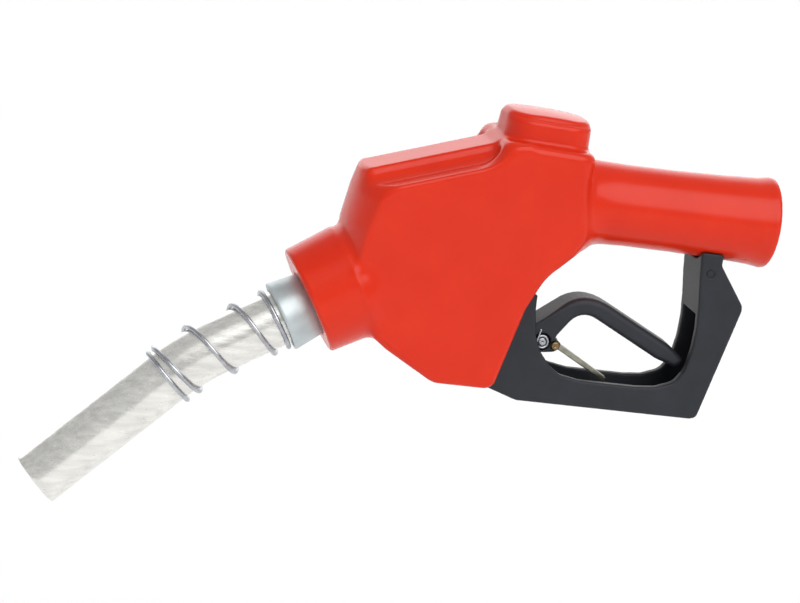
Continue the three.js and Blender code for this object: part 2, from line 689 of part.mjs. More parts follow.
// ---------------------------------------------------------------- the assembly
const nozzle = new THREE.Group();
const valveStack = frameGroup(VALVE_FRAME);
const tripStack = frameGroup(TRIP_FRAME);
const spoutStack = frameGroup(SPOUT_FRAME);
nozzle.add(valveStack, tripStack, spoutStack);

function add(parent, name, shape, material) {
  const mesh = new THREE.Mesh(asGeometry(shape), material);
  mesh.name = name;
  parent.add(mesh);
  return mesh;
}

add(nozzle, 'body_casting', bodyCasting(), CAST());
add(nozzle, 'scuff_cover', scuffCover(), VINYL());
add(nozzle, 'lever_guard', leverGuard(), BLACK_PLASTIC());
add(nozzle, 'lever', lever(), BLACK_PLASTIC());
add(nozzle, 'hold_open_clip', holdOpenClip(), STEEL());
add(nozzle, 'clip_rivet', clipRivet(), BRASS());
add(nozzle, 'clip_spring', clipSpring(), SPRING_STEEL());
add(nozzle, 'hold_open_rack', holdOpenRack(), STEEL());
add(nozzle, 'rear_guard_pin', crossRod(REAR_PIN.x, REAR_PIN.y, REAR_PIN_RADIUS, GUARD_HALF - 0.2), BLACK_PLASTIC());
for (const [i, seat] of SCREW_SEATS.entries()) {
  const screw = add(nozzle, `guard_screw_${i + 1}`, capScrew(SCREW_SHANK, SCREW_HEAD, -16, 0, 2), STEEL());
  screw.rotation.y = Math.PI / 2;
  screw.position.set(...seat);
}

add(valveStack, 'valve_cap', valveCap(), CAST());
add(valveStack, 'cap_o_ring', roundRing(14.15, 0.7, 17.3), RUBBER());
add(valveStack, 'main_spring', coilSpring(6.4, 0.8, -6.3, 29.2, 5), SPRING_STEEL());
add(valveStack, 'main_poppet', poppet(), ALUMINIUM());
add(valveStack, 'valve_disc', ring(3.3, 12, SEAT_TOP + GAP, -10), RUBBER());
add(valveStack, 'disc_retainer', ring(3.3, 7, -15.6, SEAT_TOP), BRASS());
add(valveStack, 'valve_stem', stem(), STEEL());
add(valveStack, 'seat_ring', ring(9.5, 13.7, -18.7, SEAT_TOP), BRASS());
add(valveStack, 'stem_packing', ring(3.3, 4.8, -41.9, -36.8, 16), RUBBER());
add(valveStack, 'gland_nut', glandNut(), BRASS());

add(tripStack, 'plunger', plunger(), STEEL());
add(tripStack, 'plunger_guide', turned([
  [4.4, 20.3], [7.4, 20.3], [7.4, 48], [6, 48], [6, 23], [4.4, 23], [4.4, 20.3],
], 24), BRASS());
add(tripStack, 'plunger_seal', ring(4.3, 7.3, 16.5, 20, 24), RUBBER());
add(tripStack, 'plunger_spring', coilSpring(4.95, 0.5, 23.3, 37.7, 4), SPRING_STEEL());
for (let i = 0; i < 3; i += 1) add(tripStack, `latch_ball_${i + 1}`, latchBall(i), STEEL());
add(tripStack, 'latch_pin', latchPin(), STEEL());
add(tripStack, 'diaphragm', diaphragm(), RUBBER());
add(tripStack, 'diaphragm_spring', coilSpring(4.6, 0.45, 63.5, 71.3, 3), SPRING_STEEL());
add(tripStack, 'vacuum_cap', vacuumCap(), CAST());
add(tripStack, 'fulcrum_pin', crossRod(0, 0, 1.8, LEVER_HALF - 0.1), STEEL());

add(spoutStack, 'spout_nut', spoutNut(), SATIN());
add(spoutStack, 'spout_tube', spoutTube(), ALUMINIUM());
add(spoutStack, 'spout_spring', spoutSpring(), SPRING_STEEL());
add(spoutStack, 'aspirator_tube', pipe(new SpoutLine(-16, SPOUT_LENGTH - 10, -7), 2, 1.2, 12, 6), WHITE_PLASTIC());
add(spoutStack, 'spout_o_ring', roundRing(12.75, 0.5, -28), RUBBER());
add(spoutStack, 'venturi_seat', turned([
  [5.2, -43], [10.2, -43], [10.2, -36], [8.4, -34.6], [5.2, -37.4], [5.2, -43],
]), BRASS());
add(spoutStack, 'check_poppet', checkPoppet(), ALUMINIUM());
add(spoutStack, 'check_spring', coilSpring(3, 0.4, -30.2, -21.4, 4), SPRING_STEEL());
add(spoutStack, 'check_guide', checkGuide(), BRASS());
add(spoutStack, 'set_screw', rod(2, 14.4, 19, 12).rotateX(-Math.PI / 2).translate(0, 0, -9), STEEL());

export default nozzle;
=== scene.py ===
"""Automatic shut-off fuel nozzle: the skin, guard, lever and spout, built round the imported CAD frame.

Shapes are worked out in millimetres in the row frame and scaled to metres when a mesh is made.
"""
import json
import math
import bpy
import numpy as np
from mathutils import Matrix, Vector


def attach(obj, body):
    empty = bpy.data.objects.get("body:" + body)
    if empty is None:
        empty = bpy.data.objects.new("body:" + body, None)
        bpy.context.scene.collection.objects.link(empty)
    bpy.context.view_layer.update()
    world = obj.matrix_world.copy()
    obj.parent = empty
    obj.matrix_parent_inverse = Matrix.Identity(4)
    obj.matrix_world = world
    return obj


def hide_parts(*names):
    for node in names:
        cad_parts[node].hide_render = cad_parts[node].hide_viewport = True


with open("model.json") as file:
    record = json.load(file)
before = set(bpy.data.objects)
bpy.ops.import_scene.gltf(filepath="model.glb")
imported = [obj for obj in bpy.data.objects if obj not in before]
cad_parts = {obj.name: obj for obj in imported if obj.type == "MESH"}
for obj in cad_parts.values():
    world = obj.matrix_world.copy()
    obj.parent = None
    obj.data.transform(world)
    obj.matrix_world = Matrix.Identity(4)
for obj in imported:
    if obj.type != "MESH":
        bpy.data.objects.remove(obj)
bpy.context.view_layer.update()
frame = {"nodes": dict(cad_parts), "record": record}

MM = 0.001

# ------------------------------------------------------------------ driving dimensions, as in the CAD
SKIN = 2.2                     # thickness of the vinyl cover
COLLAR_RISE = 1.4              # height of the collar's centre above the spout's axis
COLLAR_SETBACK = 1.4           # distance of the collar's face behind the spout's root
GAP = 0.3                      # clearance between separate pieces
LEDGE_HALF = 25.0              # half width of the body at its ledge
BODY_DRAFT = 0.0033            # share of the width lost per millimetre downward
RIDGE_START = (-186.2, 3.4)    # front end of the ridge's top, in X and Z
RIDGE_SLOPE = math.radians(18.6)
RIDGE_LENGTH = 65.0
VALVE_X = -108.0
BOSS_X = -109.0
BOSS_TOP = 24.6
INLET_PROUD = 0.8
NOSE_OPENING = 14.6            # radii of the cover's holes for the spout nut and the gland
GLAND_OPENING = 8.3
SPOUT_ROOT = (-199.0, -60.0)
SPOUT_DROP = math.radians(32)
TIP_DROP = math.radians(46)
BEND_RADIUS = 100.0
BEND_CORNER = 54.5
SPOUT_LENGTH = 137.9
TUBE_RADIUS = 11.9
TUBE_WALL = 1.6
TUBE_START = -33.0
GUARD_HALF = 13.0
SLOT_HALF = 8.6
LEVER_HALF = 8.0
TROUGH_FLOOR = -86.0
FULCRUM = (-124.0, -65.0)
CLIP_PIVOT = (-88.7, -63.7)
CLIP_COIL = (-94.6, -62.6)
SADDLE_RADIUS = 18.8           # the guard's rear post is hollowed to sit under the grip
REAR_PIN = (-26.3, -23.0)
SCREW_SEAT = (-101.2, 10.7, -71.0)
SCREW_RECESS_END = 98.8        # how far forward of the inlet the recess round a screw's head stops


# ------------------------------------------------------------------ signed distances
# Each field takes coordinate arrays that broadcast together and gives millimetres, negative inside.
def soft_min(a, b, k):
    """The nearer of two fields, with a fillet of about k where they meet."""
    share = np.clip(0.5 + 0.5 * (b - a) / k, 0, 1)
    return b + (a - b) * share - k * share * (1 - share)


def soft_max(a, b, k):
    """The part common to two fields, with the edge between them eased by about k."""
    return -soft_min(-a, -b, k)


def smooth_step(low, high, value):
    share = np.clip((value - low) / (high - low), 0, 1)
    return share * share * (3 - 2 * share)


def outline_distance(points, u, v):
    """Distance in a plane to a closed outline."""
    nearest = np.inf
    inside = False
    for (au, av), (bu, bv) in zip(points, [*points[1:], points[0]]):
        du, dv = bu - au, bv - av
        along = np.clip(((u - au) * du + (v - av) * dv) / (du * du + dv * dv), 0, 1)
        nearest = np.minimum(nearest, (u - au - du * along) ** 2 + (v - av - dv * along) ** 2)
        if av != bv:
            inside = inside ^ (((av <= v) != (bv <= v)) & (u < au + (v - av) * du / dv))
    return np.where(inside, -1, 1) * np.sqrt(nearest)


def eased(points, radius, steps=5):
    """A closed outline with its corners rounded as far as the edges beside them leave room."""
    rounded = []
    for i, corner in enumerate(points):
        here = Vector(corner)
        before = Vector(points[i - 1]) - here
        after = Vector(points[(i + 1) % len(points)]) - here
        turn = math.pi - before.angle(after)
        reach = min(radius * math.tan(turn / 2), 0.48 * before.length, 0.48 * after.length)
        start = here + before.normalized() * reach
        end = here + after.normalized() * reach
        for n in range(steps):
            t = n / (steps - 1)
            rounded.append(tuple(start * (1 - t) ** 2 + here * 2 * t * (1 - t) + end * t * t))
    return rounded


def extruded(flat, across, rounding):
    """Combines a flat outline's distance with the distance past its ends, with a rounded edge."""
    a = flat + rounding
    b = across + rounding
    return np.minimum(np.maximum(a, b), 0) + np.hypot(np.maximum(a, 0), np.maximum(b, 0)) - rounding


def rounded_rectangle(x, y, half_x, half_y, corner):
    qx = np.abs(x) - (half_x - corner)
    qy = np.abs(y) - (half_y - corner)
    return np.hypot(np.maximum(qx, 0), np.maximum(qy, 0)) + np.minimum(np.maximum(qx, qy), 0) - corner


def block(x, y, z, low, high):
    """Distance to a plain box."""
    gaps = [np.abs(c - (a + b) / 2) - (b - a) / 2 for c, a, b in zip((x, y, z), low, high)]
    return np.maximum(np.maximum(gaps[0], gaps[1]), gaps[2])


def along_spout(x, z):
    """Distance along the spout's first axis, and height above it."""
    dx, dz = x - SPOUT_ROOT[0], z - SPOUT_ROOT[1]
    c, s = math.cos(SPOUT_DROP), math.sin(SPOUT_DROP)
    return -dx * c - dz * s, -dx * s + dz * c


# ------------------------------------------------------------------ fields to meshes
def surface_net(values):
    """Vertices, in cells of the grid, and quads of the surface where a grid of values changes sign."""
    inside = values < 0
    size = np.array(inside.shape)
    corner_count = np.zeros(size - 1, np.int8)
    for i in (0, 1):
        for j in (0, 1):
            for k in (0, 1):
                corner_count += inside[i:size[0] - 1 + i, j:size[1] - 1 + j, k:size[2] - 1 + k]
    active = (corner_count > 0) & (corner_count < 8)
    index = np.full(active.shape, -1)
    cells = np.argwhere(active)
    index[active] = np.arange(len(cells))

    total = np.zeros((len(cells), 3))
    crossings = np.zeros((len(cells), 1))
    quads = []
    for axis in range(3):
        one, two = (axis + 1) % 3, (axis + 2) % 3
        step = np.eye(3, dtype=int)
        for i in (0, 1):
            for j in (0, 1):
                near = cells + i * step[one] + j * step[two]
                a = values[tuple(near.T)]
                b = values[tuple((near + step[axis]).T)]
                hit = ((a < 0) != (b < 0))[:, None]
                share = np.where(hit[:, 0], a / np.where(a == b, 1, a - b), 0)
                total += hit * (near + share[:, None] * step[axis])
                crossings += hit
        lower = np.take(inside, range(size[axis] - 1), axis)
        upper = np.take(inside, range(1, size[axis]), axis)
        edges = np.argwhere(lower != upper)
        edges = edges[(edges[:, one] > 0) & (edges[:, two] > 0)]
        edges = edges[(edges[:, one] < size[one] - 1) & (edges[:, two] < size[two] - 1)]
        around = (-step[one] - step[two], -step[two], 0 * step[one], -step[one])
        corners = np.stack([index[tuple((edges + offset).T)] for offset in around], 1)
        outward = lower[tuple(edges.T)]
        quads.append(np.where(outward[:, None], corners, corners[:, ::-1]))
    return total / crossings, np.concatenate(quads)


def settle(points, quads, field, rounds):
    """Evens out the vertices and puts them back on the field's surface."""
    nudge = 0.05
    links = np.concatenate([np.stack([quads[:, i], quads[:, (i + 1) % 4]], 1) for i in range(4)])
    count = np.bincount(links[:, 0], minlength=len(points))[:, None]
    for _ in range(rounds):
        sums = [np.bincount(links[:, 0], points[links[:, 1], i], len(points)) for i in range(3)]
        mean = np.stack(sums, 1)
        points = 0.5 * points + 0.5 * mean / count
        for _ in range(2):
            here = field(*points.T)
            slope = np.stack([
                (field(*(points + nudge * side).T) - here) / nudge for side in np.eye(3)
            ], 1)
            size = np.maximum((slope ** 2).sum(1), 0.25)
            shift = np.clip(here / size, -nudge * 8, nudge * 8)
            points = points - slope * shift[:, None]
    return points


def new_object(name, points, faces):
    """A smooth-shaded mesh object from points in millimetres."""
    mesh = bpy.data.meshes.new(name)
    mesh.from_pydata((np.asarray(points, float) * MM).tolist(), [], [list(map(int, f)) for f in faces])
    mesh.validate()
    mesh.shade_smooth()
    made = bpy.data.objects.new(name, mesh)
    bpy.context.collection.objects.link(made)
    return made


def mesh_from_field(name, field, low, high, step, rounds=3):
    """The surface of a field that is the same on both sides of the plane y = 0."""
    sides = [np.arange(a, b + step, step) for a, b in zip(low, high)]
    reach = int(high[1] / step)
    sides[1] = np.arange(0, reach + 1) * step
    x, y, z = np.meshgrid(*sides, indexing="ij", sparse=True)
    half = field(x, y, z) + np.zeros((x.size, y.size, z.size))
    values = np.concatenate([half[:, :0:-1], half], 1)
    cells, quads = surface_net(values)
    origin = np.array([low[0], -reach * step, low[2]])
    return new_object(name, settle(origin + cells * step, quads, field, rounds), quads)


def rings_mesh(name, rings, closed_along=False):
    """A skin over rings of points; each ring is closed, and the ends are capped or joined."""
    count, sides = len(rings), len(rings[0])
    points = np.concatenate(rings)
    faces = []
    for i in range(count if closed_along else count - 1):
        a, b = i * sides, (i + 1) % count * sides
        for j in range(sides):
            k = (j + 1) % sides
            faces.append((a + j, a + k, b + k, b + j))
    if not closed_along:
        faces.append(tuple(reversed(range(sides))))
        faces.append(tuple(range((count - 1) * sides, count * sides)))
    return new_object(name, points, faces)


def wire_mesh(name, path, radius, sides=14):
    """Round wire along a list of points, with eased ends."""
    path = [Vector(p) for p in path]
    forward = [(b - a).normalized() for a, b in zip(path, path[1:])]
    forward = [forward[0], *[(a + b).normalized() for a, b in zip(forward, forward[1:])], forward[-1]]
    side = forward[0].orthogonal().normalized()
    rings = []
    for point, ahead in zip(path, forward):
        side = (side - ahead * side.dot(ahead)).normalized()
        up = ahead.cross(side)
        rings.append((point, ahead, side, up))
    ease = [(-0.95, 0.3), (-0.75, 0.66), (-0.4, 0.92)]
    stations = [(rings[0], along, share) for along, share in ease]
    stations += [(ring, 0, 1) for ring in rings]
    stations += [(rings[-1], -along, share) for along, share in reversed(ease)]
    loops = []
    for (point, ahead, side, up), along, share in stations:
        turns = [2 * math.pi * j / sides for j in range(sides)]
        loops.append([
            point + ahead * along * radius + (side * math.cos(t) + up * math.sin(t)) * radius * share
            for t in turns
        ])
    return rings_mesh(name, np.array([[tuple(p) for p in loop] for loop in loops]))


def spout_point(s):
    """The spout's centre line at a length from its root, and its direction there, in X and Z."""
    turn = TIP_DROP - SPOUT_DROP
    start = BEND_CORNER - BEND_RADIUS * math.tan(turn / 2)
    angle = min(max((s - start) / BEND_RADIUS, 0), turn)
    straight = min(s, start)
    beyond = max(0, s - start - BEND_RADIUS * turn)
    ahead = straight + BEND_RADIUS * math.sin(angle) + beyond * math.cos(angle)
    down = BEND_RADIUS * (1 - math.cos(angle)) + beyond * math.sin(angle)
    c, d = math.cos(SPOUT_DROP), math.sin(SPOUT_DROP)
    x = SPOUT_ROOT[0] - ahead * c + down * d
    z = SPOUT_ROOT[1] - ahead * d - down * c
    heading = SPOUT_DROP + angle
    return Vector((x, 0, z)), Vector((-math.cos(heading), 0, -math.sin(heading)))


def spout_rings(profile, sides):
    """Circles round the spout's centre line at each (length, radius)."""
    rings = []
    for s, radius in profile:
        centre, ahead = spout_point(s)
        up = Vector((ahead.z, 0, -ahead.x))
        turns = [2 * math.pi * j / sides for j in range(sides)]
        rings.append([
            tuple(centre + up * (radius * math.cos(t)) + Vector((0, radius * math.sin(t), 0)))
            for t in turns
        ])
    return np.array(rings)


# ------------------------------------------------------------------ the vinyl cover's outer form
def undrafted(y, z):
    """Y as it would be if the body's flat sides were upright all the way down."""
    return y / (1 + BODY_DRAFT * np.minimum(z, 0))


def plate_field(x, y, z):
    """The flat-sided body below the ledge."""
    outline = eased([
        (-180, -4), (-181.5, -12), (-183, -28), (-180, -45), (-171.5, -67), (-165, -71.5), (-144, -83),
        (-141, -84), (-118.5, -84), (-115.2, -82), (-107.9, -46.8), (-103.5, -36), (-98.7, -26),
        (-95.7, -19), (-95, -6), (-98, 10), (-118, 10),
    ], 4)
    return extruded(outline_distance(outline, x, z), np.abs(undrafted(y, z)) - LEDGE_HALF, 3.2)


def front_field(x, y, z):
    """The rounded front that falls from the ridge to the collar."""
    levels = (-48, -36, -20, -6, 3.4, 9)
    front = np.interp(z, levels, (-190.3, -190, -189.2, -187.2, -185.6, -184.8))
    bulge = np.interp(z, levels, (5, 5, 6, 5, 2.2, 1.6))
    half = np.interp(z, levels, (21, 21, 22, 20, 11, 10))
    return (front + bulge * (np.abs(y) / half) ** 2.4 - x) * 0.93


def hump_field(x, y, z):
    """The ridge with its hollowed flanks, down to the ledge and the front."""
    section = eased([
        (-9.8, 0), (9.8, 0), (11.6, -2.7), (13.8, -4.6), (16.6, -5.8), (LEDGE_HALF, -6.5),
        (LEDGE_HALF, -40), (-LEDGE_HALF, -40), (-LEDGE_HALF, -6.5),
        (-16.6, -5.8), (-13.8, -4.6), (-11.6, -2.7),
    ], 1.3)
    dx, dz = x - RIDGE_START[0], z - RIDGE_START[1]
    c, s = math.cos(RIDGE_SLOPE), math.sin(RIDGE_SLOPE)
    forward, height = dx * c + dz * s, dz * c - dx * s
    bar = outline_distance(section, undrafted(y, z) + 0 * height, height + 0 * y)
    hump = soft_max(bar, front_field(x, y, z), 1.8)
    hump = np.maximum(hump, forward - RIDGE_LENGTH)
    return np.maximum(hump, -46 - z)


def grip_field(x, y, z):
    """The round grip that ends in a rolled rim."""
    stations = (-104, -82, -66, -45, -22, -8, -4.6, -3, -1.4, 0)
    radius = np.interp(x, stations, (18.6, 18.1, 17.6, 17.7, 18.3, 19.0, 19.5, 19.8, 19.7, 19.2))
    return soft_max(np.hypot(y, z) - radius, -104 - x, 1)


def shoulder_field(x, y, z):
    """Carries the body's flat sides over into the round grip."""
    share = smooth_step(-99, -71, x)
    half = 24.6 + (15.0 - 24.6) * share
    tall = 17.5 + (15.0 - 17.5) * share
    middle = -8.5 * (1 - share)
    power = 4.2 - 2.2 * share
    spread = (np.abs(y / half) ** power + np.abs((z - middle) / tall) ** power) ** (1 / power)
    ring = (spread - 1) * 16
    return np.maximum(ring, np.abs(x + 89) - 16)


def boss_field(x, y, z):
    """The boss over the main valve and the two-tier cap on it, which lean a little backward."""
    lean = math.radians(1.8)
    dx, dz = x - BOSS_X, z - BOSS_TOP
    u = dx * math.cos(lean) - dz * math.sin(lean)
    w = dx * math.sin(lean) + dz * math.cos(lean)
    plan = rounded_rectangle(u + 0.3, undrafted(y, z), 20.9, LEDGE_HALF, 8.5)
    boss = extruded(plan, np.abs(w + 18) - 18, 4)
    u = u - 0.6
    flare = 0.05 * np.clip(9.5 - w, -4, 12)
    lower = extruded(rounded_rectangle(u, y, 18.4 + flare, 16 + flare, 10.5), np.abs(w) - 9.4, 1.6)
    crown = 0.9 * (1 - (u / 18) ** 2 - (y / 14) ** 2)
    upper = extruded(rounded_rectangle(u, y, 18.3 + flare, 13.6, 10), np.abs(w) - 11.3 - crown, 2.2)
    return soft_min(boss, soft_min(lower, upper, 0.9), 1.6)


def collar_field(x, y, z):
    """The cone round the spout, centred a little above the spout's axis."""
    s, rise = along_spout(x, z)
    off = np.hypot(rise - COLLAR_RISE, y)
    radius = np.interp(s, (-46, -23, -COLLAR_SETBACK), (14, 25, 23.8))
    return soft_max(off - radius, np.maximum(s + COLLAR_SETBACK, -46 - s), 1.6)


def cover_outer(x, y, z):
    """The cover's outside: every form joined, with the sides kept flat between the collar and the grip."""
    body = np.minimum(plate_field(x, y, z), hump_field(x, y, z))
    body = soft_min(body, boss_field(x, y, z), 2.5 + 8 * smooth_step(13, 21, np.abs(y)))
    arm = soft_min(grip_field(x, y, z), shoulder_field(x, y, z), 3)
    body = soft_min(body, arm, 3.5 + 5 * smooth_step(4, -16, z))
    body = soft_max(body, np.abs(undrafted(y, z)) - LEDGE_HALF, 1.4)
    return soft_min(body, collar_field(x, y, z), 4)


def cover_field(x, y, z):
    """The dipped cover: a skin with openings for the inlet, the spout, the guard and the gland."""
    outer = cover_outer(x, y, z)
    skin = soft_max(outer, -(outer + SKIN), 0.3)
    s, rise = along_spout(x, z)
    mouth = -INLET_PROUD - x
    sleeve = np.maximum(np.hypot(y, z) - 17.5, -12 - x)
    nose = np.maximum(np.hypot(rise, y) - NOSE_OPENING, -10 - s)
    heel = outline_distance([
        (-125, -80), (-121.5, -84.8), (-116, -89), (-98, -89), (-98, -40), (-112, -40),
    ], x, z)
    heel = np.maximum(heel, np.abs(y) - GUARD_HALF - GAP)
    lug = block(x, y, z, (-29.2, -5.6, -28), (-23.4, 5.6, -8))
    gland = np.maximum(np.hypot(x - VALVE_X, y) - GLAND_OPENING, z + 20)
    for opening in (mouth, sleeve, nose, heel, lug, gland):
        skin = soft_max(skin, -opening, 0.7)
    return skin


# ------------------------------------------------------------------ guard, lever and clip
def guard_field(x, y, z):
    outer = eased([
        (-119.2, -81.5), (-116.5, -84.4), (-104.6, -88.2), (-102.8, -88.6), (-23.6, -88.6), (-21, -87.8),
        (-20.2, -86), (-8.9, -37.7), (-9.4, -35.4), (-21.8, -19), (-21.8, -5), (-60, -5), (-60, -30),
        (-106.6, -30), (-106.6, -43.8),
    ], 2.5)
    window = eased([
        (-101.6, -25), (-101.6, -43), (-101.2, -48), (-99.4, -58.7), (-95.9, -66), (-91, -71.6),
        (-85.5, -75.4), (-76, -77), (-50, -77), (-41.5, -76.2), (-33.5, -73.2), (-29.6, -67), (-28.1, -57),
        (-28, -48), (-29, -38), (-30.6, -27), (-32, -14), (-32, 0), (-64, 0), (-64, -25),
    ], 7)
    flat = np.maximum(outline_distance(outer, x, z), -outline_distance(window, x, z))
    flat = np.maximum(flat, outline_distance([
        (-125, -95), (0, -95), (0, 0), (-40, 0), (-40, -30), (-103.6, -41.5), (-106.6, -43.8), (-125, -80),
    ], x, z))
    frame_bar = extruded(flat, np.abs(y) - GUARD_HALF, 0.8)
    trough = outline_distance(eased([
        (-101, -74), (-94, -80), (-88, TROUGH_FLOOR), (-31, TROUGH_FLOOR), (-23.5, -80.5), (-17.6, -54),
        (-17, -44), (-30, -42), (-45, -60), (-101, -60),
    ], 4), x, z)
    trough = np.maximum(trough, np.abs(y) - SLOT_HALF - 0.4)
    saddle = np.maximum(np.hypot(y, z) - SADDLE_RADIUS, -60 - x)
    slot = block(x, y, z, (-130, -SLOT_HALF, -77), (-93, SLOT_HALF, -30))
    pocket = block(x, y, z, (-29, -5.4, -27.4), (-23.6, 5.4, -5))
    pin = np.hypot(x - REAR_PIN[0], z - REAR_PIN[1]) - 1.65
    screw_x, screw_y, screw_z = SCREW_SEAT
    off = np.hypot(np.abs(y) - screw_y, z - screw_z)
    recess = np.maximum(np.minimum(off - 1.0, np.maximum(off - 1.5, screw_x - x)), x + SCREW_RECESS_END)
    for hollow in (trough, saddle, slot, pocket, pin):
        frame_bar = soft_max(frame_bar, -hollow, 0.6)
    return soft_max(frame_bar, -recess, 0.1)


def curve_points(start, *legs, steps=7):
    """Straight legs (x, z) and quadratic legs (control x, z, end x, z) as one list of points."""
    points = [start]
    for leg in legs:
        if len(leg) == 2:
            points.append(leg)
            continue
        (ax, az), (cx, cz, bx, bz) = points[-1], leg
        for n in range(1, steps + 1):
            t = n / steps
            points.append((
                ax * (1 - t) ** 2 + cx * 2 * t * (1 - t) + bx * t * t,
                az * (1 - t) ** 2 + cz * 2 * t * (1 - t) + bz * t * t,
            ))
    return points


LEVER_OUTLINE = curve_points(
    (FULCRUM[0], FULCRUM[1] - 5.6), (-104, -68.6), (-96, -67.6), (-89.5, -67), (-85.4, -66.4, -85.6, -62.8),
    (-89, -60.6), (-83.2, -52.7), (-78.2, -46.9, -71.1, -50.6), (-41.7, -64.9), (-33, -67.6),
    (-28.6, -66.6, -29.6, -63.2), (-36.5, -58.3), (-65, -44.5), (-77.5, -38.2, -86, -44.4), (-96, -53),
    (-101, -57, -107, -58.3), (FULCRUM[0], FULCRUM[1] + 5.6), (-129.8, -59.4, -129.6, -65),
    (-129.8, -70.6, FULCRUM[0], FULCRUM[1] - 5.6),
)[:-1]


def lever_field(x, y, z):
    flat = outline_distance(eased(LEVER_OUTLINE, 1.5, 3), x, z)
    rounding = 0.8 + 2.3 * smooth_step(-98, -80, x)
    bar = extruded(flat, np.abs(y) - LEVER_HALF, rounding)
    fork = block(x, y, z, (-140, -3.4, -80), (-115.5, 3.4, -50))
    eye = np.hypot(x - FULCRUM[0], z - FULCRUM[1]) - 2.1
    clip_slot = block(x, y, z, (-99.5, -3.5, -75), (-80, 3.5, -58.6))
    rivet = np.hypot(x - CLIP_PIVOT[0], z - CLIP_PIVOT[1]) - 1.7
    notch = np.maximum(np.hypot(x - CLIP_COIL[0], z - CLIP_COIL[1]) - 3.9, 4.1 - np.abs(y))
    for hollow in (fork, eye, clip_slot, rivet, notch):
        bar = soft_max(bar, -hollow, 0.5)
    return bar


def clip_field(x, y, z):
    """The sprung hold-open strap: an eye round its rivet and a long tapering tongue with a hooked tip."""
    px, pz = CLIP_PIVOT
    tongue = outline_distance(eased([
        (px - 1, pz - 2.4), (px + 1.6, pz - 1.9),
        (-63, -78.2), (-61.4, -78.4), (-61, -77.2), (-61.8, -76.4),
        (px + 2.6, pz + 0.4), (px + 1, pz + 2.4),
    ], 0.8), x, z)
    half = 2.6 - 1.1 * smooth_step(-80, -62, x)
    strap = extruded(tongue, np.abs(y) - half, 0.35)
    eye = extruded(np.hypot(x - px, z - pz) - 2.9, np.abs(y) - 2.6, 0.35)
    hole = np.hypot(x - px, z - pz) - 1.75
    return np.maximum(soft_min(strap, eye, 0.4), -hole)


# ------------------------------------------------------------------ materials
def linear(colour):
    """An sRGB hex colour as linear red, green, blue and alpha."""
    parts = [int(colour[i:i + 2], 16) / 255 for i in (1, 3, 5)]
    return [p / 12.92 if p <= 0.04045 else ((p + 0.055) / 1.055) ** 2.4 for p in parts] + [1.0]


def noise(tree, scale, detail, stretch=(1, 1, 1), tilt=0.0):
    """A noise texture on the object's own coordinates; scale is in features per metre."""
    nodes, links = tree.nodes, tree.links
    place = nodes.new("ShaderNodeMapping")
    place.inputs["Scale"].default_value = stretch
    place.inputs["Rotation"].default_value = (0, tilt, 0)
    links.new(nodes.new("ShaderNodeTexCoord").outputs["Object"], place.inputs["Vector"])
    texture = nodes.new("ShaderNodeTexNoise")
    texture.inputs["Scale"].default_value = scale
    texture.inputs["Detail"].default_value = detail
    links.new(place.outputs["Vector"], texture.inputs["Vector"])
    return texture.outputs["Fac"]


def spread(tree, value, low, high):
    """Maps the middle of a noise to a range."""
    node = tree.nodes.new("ShaderNodeMapRange")
    node.inputs["From Min"].default_value = 0.3
    node.inputs["From Max"].default_value = 0.7
    node.inputs["To Min"].default_value = low
    node.inputs["To Max"].default_value = high
    tree.links.new(value, node.inputs["Value"])
    return node.outputs["Result"]


def finish_of(
    name, colours, roughness, grain, blotch=60, metallic=0.0, specular=0.5, stretch=(1, 1, 1), tilt=0.0,
):
    """A material that varies between two colours and two roughnesses, with a fine grain.

    grain is (features per metre, strength, height in millimetres).
    """
    made = bpy.data.materials.new(name)
    made.use_nodes = True
    tree = made.node_tree
    shader = tree.nodes["Principled BSDF"]
    shader.inputs["Metallic"].default_value = metallic
    shader.inputs["Specular IOR Level"].default_value = specular
    broad = noise(tree, blotch, 3, stretch, tilt)
    fine = noise(tree, grain[0], 5, stretch, tilt)
    mix = tree.nodes.new("ShaderNodeMix")
    mix.data_type = "RGBA"
    tree.links.new(spread(tree, broad, 0, 1), mix.inputs["Factor"])
    mix.inputs["A"].default_value = linear(colours[0])
    mix.inputs["B"].default_value = linear(colours[1])
    tree.links.new(mix.outputs["Result"], shader.inputs["Base Color"])
    tree.links.new(spread(tree, fine, *roughness), shader.inputs["Roughness"])
    bump = tree.nodes.new("ShaderNodeBump")
    bump.inputs["Strength"].default_value = grain[1]
    bump.inputs["Distance"].default_value = grain[2] * MM
    tree.links.new(fine, bump.inputs["Height"])
    tree.links.new(bump.outputs["Normal"], shader.inputs["Normal"])
    return made


